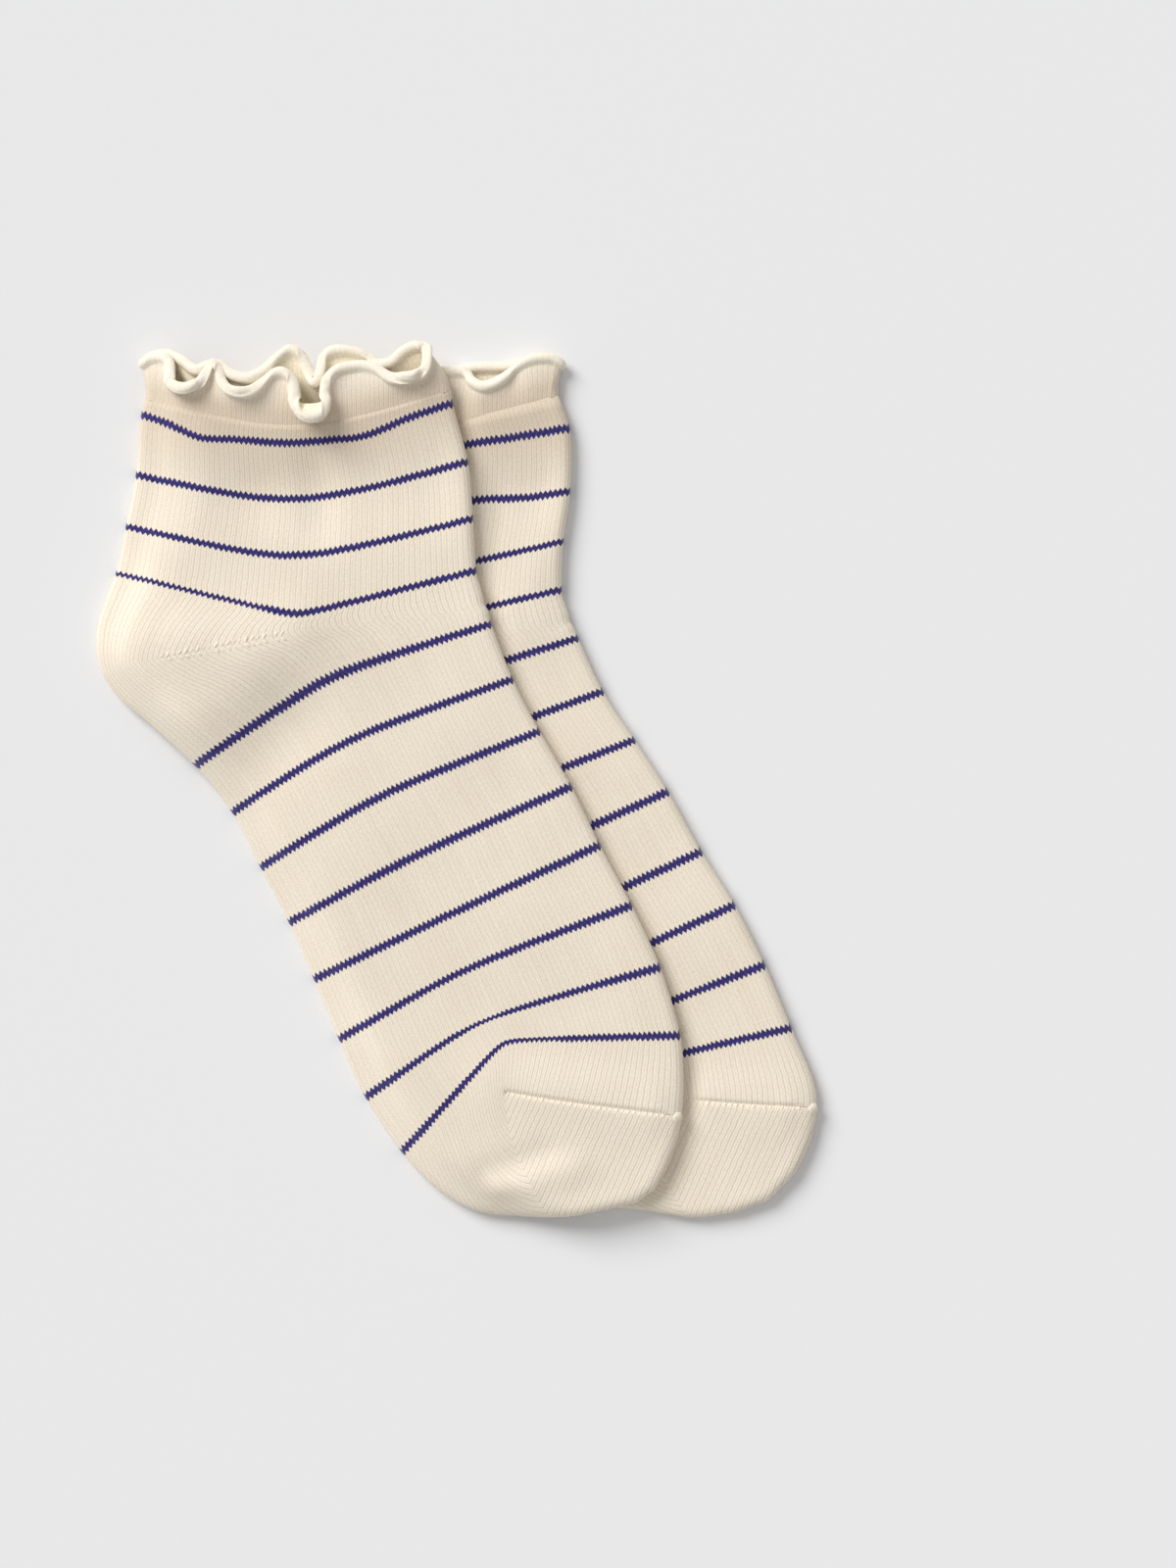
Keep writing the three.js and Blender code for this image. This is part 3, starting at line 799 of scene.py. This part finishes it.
def sock_cloth(sock):
    """The leg, heel, foot and toe as one thin closed shell, open only at the rim."""
    points, faces, knit = sock_skin(sock)
    points, welded_faces = welded(points, faces)
    corners = knit[faces]
    inner = points - WALL * vertex_normals(points, welded_faces)
    count = len(points)
    rim = open_edges(welded_faces)
    rim_faces = np.column_stack([rim[:, 1], rim[:, 0], rim[:, 0] + count, rim[:, 1] + count])
    rim_knit = np.zeros((len(rim), 4, 3))
    all_faces = np.vstack([welded_faces, welded_faces[:, ::-1] + count, rim_faces])
    all_knit = np.concatenate([corners, corners[:, ::-1], rim_knit])
    places = np.vstack([points, inner]) + SHIFT
    return make_mesh(sock.name + "_cloth", places, all_faces, all_knit, flat=len(rim))


# The ruffles

def rim_line(sock, shares, inside):
    """The middle of the leg's cloth all round, a little inside the rim, at shares of the way."""
    upper = shares <= 0.5
    width = sock.rows[0]["instep"][0] - sock.rows[0]["heel"][0]
    margin = WALL / 2 / width
    across = margin + (1 - 2 * margin) * np.where(upper, 2 * shares, 2 - 2 * shares)
    plan = points_on_courses(sock.rows, np.zeros(len(shares)), across[:, None])[:, 0, :]
    plan[:, 1] -= inside
    inset = RUFFLE_WALL / 2
    edge = np.maximum(distance_to(sock.outline, plan) - inset, 0)
    radius = FLAT_THICKNESS / 2 - inset
    half = np.sqrt(np.maximum(radius**2 - (radius - np.minimum(edge, radius)) ** 2, 0))
    relief = sock.relief_at(plan, edge + inset)
    height = FLAT_THICKNESS / 2 + np.where(upper, half + relief, -half)
    return np.column_stack([plan, height])


def ruffle_edge_line(rows, count):
    """The rolled edge, once round: shares of the rim and places."""
    size = len(rows)
    turns = [-1, 0, 1]
    numbers = [[r["share"] + turn, *r["at"], r["height"]] for turn in turns for r in rows]
    at = np.arange(-size, 2 * size)
    found = cubic(at, numbers, np.arange(count) * size / count)
    return found[:, 0], found[:, 1:]


def ruffle_band(sock, edge_rows):
    """The middle surface of a ruffle, (bands, around, 3)."""
    count = len(edge_rows) * RUFFLE_WAVE_STEPS
    shares, edge = ruffle_edge_line(edge_rows, count)
    base = rim_line(sock, shares % 1.0, 0.0)
    hidden = rim_line(sock, shares % 1.0, RIM_OVERLAP)
    slope = (base - hidden) / RIM_OVERLAP
    away = (edge[:, 2:] - FLAT_THICKNESS) / CAMERA_HEIGHT
    edge[:, :2] += away * (np.array(LOOK_AT) - edge[:, :2])
    first = base + RUFFLE_START * slope
    second = base + RUFFLE_MIDDLE * (edge - base)
    second[:, 1] = base[:, 1] + RUFFLE_REACH
    # A row close to the rim's keeps the tucked part's shading from showing
    shares_up = np.append(0, np.linspace(CLOSE_ROW, 1, RUFFLE_BAND_STEPS))
    t = (1 - (1 - shares_up) ** 1.4)[:, None, None]
    level = (1 - t) ** 3 * base + 3 * t * (1 - t) ** 2 * first
    band = level + 3 * t**2 * (1 - t) * second + t**3 * edge
    return np.concatenate([hidden[None] - [0, 0, TUCKED], band]), shares


def ruffle_cloth(sock, edge_rows):
    """The band with its rolled edge, as a closed shell."""
    band, shares = ruffle_band(sock, edge_rows)
    steps, count = band.shape[:2]
    around = np.roll(band, -1, axis=1) - np.roll(band, 1, axis=1)
    up = np.gradient(band, axis=0)
    normal = np.cross(around, up)
    normal /= np.maximum(np.linalg.norm(normal, axis=2, keepdims=True), 1e-9)
    length = np.concatenate(
        [np.zeros((1, count)), np.cumsum(np.linalg.norm(np.diff(band, axis=0), axis=2), axis=0)]
    )
    to_edge = length[-1] - length
    radius = ROLLED_EDGE / 2
    inside = np.clip(1 - np.abs(to_edge - radius) / radius, 0, 1)
    angle = 2 * math.pi * shares
    uneven = 1 + BEAD_UNEVEN * np.sin(9 * angle) * np.sin(4 * angle + 1)
    roll = uneven * radius * np.sqrt(1 - (1 - inside) ** 2)
    half = np.where(to_edge < radius, roll, np.maximum(roll, RUFFLE_WALL / 2))
    rings = []
    for side in (-1, 1):
        skin = band + side * half[..., None] * normal
        skin[..., 2] = np.maximum(skin[..., 2], 0)
        flat = skin.reshape(-1, 3)
        flat[:, 2] += sock.band_lift(flat)
        rings.append(flat.reshape(steps, count, 3))
    loop = np.concatenate([rings[0], rings[1][::-1]])
    courses = np.concatenate([length, -length[::-1]]) / COURSE_HEIGHT
    rolled = smooth(1.4 - to_edge / ROLLED_EDGE)
    rolled = np.concatenate([rolled, rolled[::-1]])
    wales = 2 * WALES * np.append(shares, shares[0] + 1)
    return closed_band(sock.name + "_ruffle_cloth", loop, wales, courses, rolled)


def closed_band(name, loop, wales, courses, rolled):
    """A mesh round a closed band. wales has one number more than the band has columns."""
    rows, count = loop.shape[:2]
    k = np.arange(count)
    n = (k + 1) % count
    faces, knit = [], []
    for r in range(rows):
        after = (r + 1) % rows
        faces.append(
            np.column_stack([r * count + k, after * count + k, after * count + n, r * count + n])
        )
        corners = [
            (wales[:-1], courses[r][k], rolled[r][k]),
            (wales[:-1], courses[after][k], rolled[after][k]),
            (wales[1:], courses[after][n], rolled[after][n]),
            (wales[1:], courses[r][n], rolled[r][n]),
        ]
        knit.append(np.stack([np.stack(corner, axis=1) for corner in corners], axis=1))
    points = loop.reshape(-1, 3) + SHIFT
    return make_mesh(name, points, np.vstack(faces), np.concatenate(knit), flat=count)


# Stitches that stand proud along the heel's gore and the toe's seam

GORE_STITCHES = table(
    "spacing shift radii turn sink",
    (1.75, (0, 0.7), (1.15, 0.5, 0.35), 62, 0.2),
    (1.75, (0.5, -0.9), (1.0, 0.5, 0.35), 140, 0.22),
)
SEAM_STITCHES = table("spacing shift radii turn sink", (1.7, (0, -0.9), (0.8, 0.5, 0.3), 70, 0.24))
KNOB = {"share": 0.975, "shift": (0, -0.6), "radii": (2.2, 2.3, 1.7), "sink": 1.3}
POLE_GAP = 0.06


def bead(centre, radii, angle):
    """A small ellipsoid's points and faces, turned about the vertical."""
    rings, sides = 6, 10
    polar = np.linspace(POLE_GAP, math.pi - POLE_GAP, rings)[:, None]
    around = (2 * math.pi * np.arange(sides) / sides)[None]
    x = radii[0] * np.sin(polar) * np.cos(around)
    y = radii[1] * np.sin(polar) * np.sin(around)
    z = radii[2] * np.cos(polar) + 0 * around
    c, s = math.cos(angle), math.sin(angle)
    points = np.stack([c * x - s * y, s * x + c * y, z], axis=2).reshape(-1, 3) + centre
    faces = []
    for r in range(rings - 1):
        for k in range(sides):
            n = (k + 1) % sides
            faces.append([r * sides + k, (r + 1) * sides + k, (r + 1) * sides + n, r * sides + n])
    return points, np.array(faces)


def stitch_row(sock, line, kind):
    """Beads beside a line of the upper face, sunk partly into the cloth."""
    line = line + kind["shift"]
    length = np.linalg.norm(np.diff(line, axis=0), axis=1).sum()
    places = along_line(line, np.linspace(0, 1, int(length / kind["spacing"]) + 1))
    heights = sock.heights(places, 1) - kind["sink"]
    row = []
    for k, (place, height) in enumerate(zip(places, heights)):
        size = 1 + 0.18 * math.sin(2.4 * k) + 0.1 * math.sin(5.1 * k + 1)
        turn = math.radians(kind["turn"]) + 0.2 * math.sin(3.3 * k)
        row.append(bead([*place, height], np.array(kind["radii"]) * size, turn))
    return row


def gore_line(sock):
    """The heel's gore, from near its pivot to where it fades out."""
    across = lean(np.array([HEEL_TURN]), np.array([[0.485, 0.42, 0.36, 0.3, 0.24]]))
    return points_on_courses(sock.rows, np.array([HEEL_TURN]), across)[0]


def stitches(sock):
    """One mesh of all the raised stitches of a sock."""
    beads = []
    for kind in GORE_STITCHES:
        beads += stitch_row(sock, gore_line(sock), kind)
    for kind in SEAM_STITCHES:
        beads += stitch_row(sock, seam_line(sock, np.linspace(0.03, 0.97, 30)), kind)
    knob = seam_line(sock, [KNOB["share"]])[0] + KNOB["shift"]
    knob_height = sock.heights(knob[None], 1)[0] - KNOB["sink"]
    beads.append(bead([*knob, knob_height], KNOB["radii"], 0.0))
    points, faces, start = [], [], 0
    for places, quads in beads:
        points.append(places)
        faces.append(quads + start)
        start += len(places)
    faces = np.vstack(faces)
    knit = np.broadcast_to([0.25, HEEL_TURN + 0.5, 0.0], (len(faces), 4, 3))
    return make_mesh(sock.name + "_stitches", np.vstack(points) + SHIFT, faces, knit)


# Materials

class Graph:
    """A material's nodes, made with short calls."""

    def __init__(self, name):
        self.material = bpy.data.materials.new(name)
        self.material.use_nodes = True
        self.nodes = self.material.node_tree.nodes
        self.links = self.material.node_tree.links
        self.shader = self.nodes["Principled BSDF"]

    def put(self, socket, value):
        if isinstance(value, bpy.types.NodeSocket):
            self.links.new(value, socket)
        elif value is not None:
            socket.default_value = value

    def add(self, kind, inputs=(), out=0, **settings):
        node = self.nodes.new("ShaderNode" + kind)
        for key, value in settings.items():
            setattr(node, key, value)
        for key, value in dict(inputs).items():
            self.put(node.inputs[key], value)
        return node.outputs[out]

    def math(self, operation, a, b=None, c=None, clamp=False):
        values = {i: v for i, v in enumerate((a, b, c)) if v is not None}
        return self.add("Math", values, operation=operation, use_clamp=clamp)

    def mix(self, factor, a, b, blend="MIX"):
        node = self.nodes.new("ShaderNodeMix")
        node.data_type = "RGBA"
        node.blend_type = blend
        self.put(node.inputs[0], factor)
        self.put(node.inputs[6], a)
        self.put(node.inputs[7], b)
        return node.outputs[2]

    def noise(self, vector, scale, detail=2.0):
        inputs = {"Vector": vector, "Scale": scale, "Detail": detail}
        return self.add("TexNoise", inputs)

    def range(self, value, low, high, to_low, to_high):
        inputs = {0: value, 1: low, 2: high, 3: to_low, 4: to_high}
        return self.add("MapRange", inputs, clamp=True)


def srgb(red, green, blue):
    """A linear colour from 8-bit screen values."""

    def linear(v):
        v /= 255
        return v / 12.92 if v <= 0.04045 else ((v + 0.055) / 1.055) ** 2.4

    return (linear(red), linear(green), linear(blue), 1.0)


CREAM = srgb(245, 234, 216)
CREAM_DEEP = srgb(236, 223, 202)
# Painted shadow: this tan stands in for the shade that the ruffle's lobes cast on the leg's top and on
# the ruffle's own front near the rim.
RUFFLE_SHADOW_TAN = srgb(223, 207, 185)
# Painted light: the ruffle's inner face is a warmer cream, drawn lighter than the outer face for the
# light that comes through the thin cloth.
INNER_WARM_PAINTED_LIGHT = srgb(255, 245, 219)
PALE = srgb(247, 237, 220)
INDIGO = srgb(31, 22, 80)
INDIGO_PALE = srgb(56, 46, 130)
FLOOR = srgb(236, 236, 237)

# Painted shade in a groove and painted highlight on top: how much lighter or darker than its colour the
# yarn is drawn there
PLAIN_SHADE = (0.83, 1.03)
STRIPED_SHADE = (0.92, 1.0)
RUFFLE_SHADE = (0.92, 1.0)
RIM_SHADOW_FADE = (2.0, 22.0)  # courses over which the painted lobe shadow on the leg fades from tan to cream
RUFFLE_SHADOW_FADE = (-12.0, -4.0)  # and the same painted shadow on the ruffle's outer face, whose courses count down
BUMP_DEPTH = 0.0002


def knit_coordinates(g):
    """Wale and course numbers, a little uneven as hand and machine leave them."""
    uv = g.add("UVMap", uv_map="knit")
    wander = g.noise(uv, 0.35, 1.0)
    u = g.add("SeparateXYZ", {0: uv}, out=0)
    v = g.add("SeparateXYZ", {0: uv}, out=1)
    shift = g.math("SUBTRACT", wander, 0.5)
    u = g.math("MULTIPLY_ADD", shift, 0.35, u)
    v = g.math("MULTIPLY_ADD", shift, 0.5, v)
    return u, v


def stitch_form(g, u, v):
    """The V of each stitch: a course number that zigzags, and the height of the yarn."""
    x = g.math("FRACT", u)
    side = g.math("ABSOLUTE", g.math("SUBTRACT", x, 0.5))
    slant = g.math("MULTIPLY_ADD", side, 2.0, -0.5)
    course = g.math("ADD", v, slant)
    wale = g.math("POWER", g.math("SINE", g.math("MULTIPLY", x, math.pi)), 0.4)
    split = g.math("ABSOLUTE", g.math("SINE", g.math("MULTIPLY", x, 2 * math.pi)))
    leg = g.math("MULTIPLY_ADD", wale, 0.6, g.math("MULTIPLY", split, 0.4))
    row = g.math("ABSOLUTE", g.math("SINE", g.math("MULTIPLY", course, math.pi)))
    height = g.math("MULTIPLY", leg, g.math("MULTIPLY_ADD", row, 0.25, 0.75))
    return course, height


def cream_yarn(g, u, v, height, light, deep, groove, peak):
    """Cream yarn with streaks along the wales, soft blotches, painted shade in the grooves and painted
    highlight on the tops.
    """
    streak_at = g.add("CombineXYZ", {0: g.math("MULTIPLY", u, 1.1), 1: g.math("MULTIPLY", v, 0.02)})
    streak = g.noise(streak_at, 1.0, 1.0)
    blotch_at = g.add("CombineXYZ", {0: g.math("MULTIPLY", u, 0.06), 1: g.math("MULTIPLY", v, 0.05)})
    blotch = g.noise(blotch_at, 1.0, 2.0)
    grain_at = g.add("CombineXYZ", {0: g.math("MULTIPLY", u, 2.0), 1: g.math("MULTIPLY", v, 1.4)})
    grain = g.noise(grain_at, 1.0, 2.0)
    colour = g.mix(g.range(streak, 0.2, 0.8, 0.2, 0.8), light, deep)
    tone = g.math("ADD", g.range(blotch, 0.3, 0.7, 0.97, 1.02), g.range(grain, 0.3, 0.7, -0.055, 0.045))
    # The blotches and grain are random tone. The groove-to-top range is painted shade and highlight, and
    # darker tones turn warmer as warm shade.
    tone = g.math("MULTIPLY", tone, g.range(height, 0.0, 0.8, groove, peak))
    green = g.math("POWER", tone, 1.12)
    blue = g.math("POWER", tone, 1.35)
    shade = g.add("CombineColor", {0: tone, 1: green, 2: blue})
    return g.mix(1.0, colour, shade, "MULTIPLY")


def stripe_mask(g, course):
    """1 on a stripe's courses, with the teeth that the stitches give its edges."""
    width = g.add("Attribute", attribute_name="stripe_width", out=2)
    every = g.math("ADD", course, STRIPE_EVERY / 2 - FIRST_STRIPE)
    away = g.math("ABSOLUTE", g.math("SUBTRACT", g.math("MODULO", every, STRIPE_EVERY), STRIPE_EVERY / 2))
    inside = g.math("SUBTRACT", width, away)
    mask = g.math("MULTIPLY_ADD", inside, 4.0, 0.5, clamp=True)
    return g.math("MULTIPLY", mask, g.math("GREATER_THAN", width, 0.05))


def finish_knit(g, colour, height):
    g.put(g.shader.inputs["Base Color"], colour)
    fuzz = g.noise(g.add("TexCoord", out=3), 900.0, 2.0)
    relief = g.math("MULTIPLY_ADD", fuzz, 0.35, height)
    bump = g.add("Bump", {"Height": relief, "Distance": BUMP_DEPTH, "Strength": 0.6})
    g.put(g.shader.inputs["Normal"], bump)
    g.shader.inputs["Roughness"].default_value = 0.92
    g.shader.inputs["Specular IOR Level"].default_value = 0.25
    g.shader.inputs["Sheen Weight"].default_value = 0.25
    g.shader.inputs["Sheen Roughness"].default_value = 0.6
    return g.material


def striped_knit():
    g = Graph("striped_knit")
    u, v = knit_coordinates(g)
    course, height = stitch_form(g, u, v)
    striped = g.add("Attribute", attribute_name="stripe_width", out=2)
    groove = g.range(striped, 0.0, 1.0, PLAIN_SHADE[0], STRIPED_SHADE[0])
    peak = g.range(striped, 0.0, 1.0, PLAIN_SHADE[1], STRIPED_SHADE[1])
    # Painted shadow of the ruffle's lobes: the leg's first courses below the rim turn tan, fading to
    # cream.
    lobe_shadow = g.range(v, *RIM_SHADOW_FADE, 1.0, 0.0)
    light = g.mix(lobe_shadow, CREAM, RUFFLE_SHADOW_TAN)
    deep = g.mix(lobe_shadow, CREAM_DEEP, RUFFLE_SHADOW_TAN)
    cream = cream_yarn(g, u, v, height, light, deep, groove, peak)
    grain_at = g.add("CombineXYZ", {0: g.math("MULTIPLY", u, 1.5), 1: v})
    grain = g.noise(grain_at, 1.0, 2.0)
    indigo = g.mix(g.range(grain, 0.35, 0.7, 0.0, 1.0), INDIGO, INDIGO_PALE)
    colour = g.mix(stripe_mask(g, course), cream, indigo)
    return finish_knit(g, colour, height)


def ruffle_knit():
    g = Graph("ruffle_knit")
    u, v = knit_coordinates(g)
    _, height = stitch_form(g, u, v)
    rolled = g.add("Attribute", attribute_name="stripe_width", out=2)
    # Painted shadow of the lobes on the outer face near the rim, and painted light on the warmer inner
    # face.
    outer_face_shaded = g.mix(g.range(v, *RUFFLE_SHADOW_FADE, 0.0, 1.0), CREAM, RUFFLE_SHADOW_TAN)
    inside = g.math("GREATER_THAN", v, 0.0)
    light = g.mix(rolled, g.mix(inside, outer_face_shaded, INNER_WARM_PAINTED_LIGHT), PALE)
    deep = g.mix(1.0, light, srgb(253, 252, 250), "MULTIPLY")
    height = g.math("MULTIPLY", height, g.math("MULTIPLY_ADD", rolled, -0.7, 1.0))
    height = g.math("MULTIPLY_ADD", rolled, 0.55, height)
    colour = cream_yarn(g, u, v, height, light, deep, *RUFFLE_SHADE)
    return finish_knit(g, colour, height)


# The scene

FLOOR_HALF = 3.0  # metres
FLOOR_DROP = 0.0001
WINDOW_FROM = (-0.64, 0.64, 0.66)
WINDOW_SPREAD = math.radians(32)
WINDOW_STRENGTH = 2.6
SKY_STRENGTH = 0.475


def add_camera():
    camera = bpy.data.objects.new("camera", bpy.data.cameras.new("camera"))
    camera.data.lens = LENS
    camera.data.sensor_width = SENSOR
    camera.data.clip_end = 10
    camera.location = (np.array([*LOOK_AT, CAMERA_HEIGHT]) + SHIFT) * MM
    bpy.context.scene.collection.objects.link(camera)
    bpy.context.scene.camera = camera


def add_floor():
    mesh = bpy.data.meshes.new("floor")
    signs = [(-1, -1), (1, -1), (1, 1), (-1, 1)]
    corners = [(x * FLOOR_HALF, y * FLOOR_HALF, -FLOOR_DROP) for x, y in signs]
    mesh.from_pydata(corners, [], [(0, 1, 2, 3)])
    floor = bpy.data.objects.new("floor", mesh)
    bpy.context.scene.collection.objects.link(floor)
    g = Graph("floor")
    g.shader.inputs["Base Color"].default_value = FLOOR
    g.shader.inputs["Roughness"].default_value = 0.9
    mesh.materials.append(g.material)


def add_window():
    """Broad soft light from one side and above, even over the whole surface."""
    lamp = bpy.data.objects.new("window", bpy.data.lights.new("window", "SUN"))
    lamp.data.angle = WINDOW_SPREAD
    lamp.data.energy = WINDOW_STRENGTH
    x, y, z = WINDOW_FROM
    lamp.rotation_euler = (math.atan2(math.hypot(x, y), z), 0, math.atan2(x, -y))
    bpy.context.scene.collection.objects.link(lamp)


def light_scene():
    world = bpy.data.worlds.new("world")
    world.use_nodes = True
    background = world.node_tree.nodes["Background"]
    background.inputs["Color"].default_value = (1.0, 1.0, 1.0, 1.0)
    background.inputs["Strength"].default_value = SKY_STRENGTH
    bpy.context.scene.world = world
    add_window()
    bpy.context.scene.view_settings.view_transform = "Standard"


def dress(piece, node, material):
    piece.data.materials.append(material)
    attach(piece, "root")
    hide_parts(node)


def main():
    under = Sock(
        "under_sock", UNDER_ROWS, UNDER_TIP, UNDER_TOE, UNDER_RELIEF, UNDER_THIN_STRIPES, UNDER_PULLS
    )
    top = Sock(
        "top_sock", TOP_ROWS, TOP_TIP, TOP_TOE, TOP_RELIEF, TOP_THIN_STRIPES, TOP_PULLS, over=under
    )
    under.covered_by = top
    sock_material, ruffle_material = striped_knit(), ruffle_knit()
    pair = [(under, UNDER_RUFFLE_EDGE, ["floor"]), (top, TOP_RUFFLE_EDGE, ["under_sock"])]
    for sock, edge_rows, beneath in pair:
        cloth, ruffle = sock_cloth(sock), ruffle_cloth(sock, edge_rows)
        ruffle_node = sock.name + "_ruffle"
        dress(cloth, sock.name, sock_material)
        dress(ruffle, ruffle_node, ruffle_material)
        raised = stitches(sock)
        raised.data.materials.append(sock_material)
        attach(raised, "root")
    add_floor()
    light_scene()
    add_camera()


main()
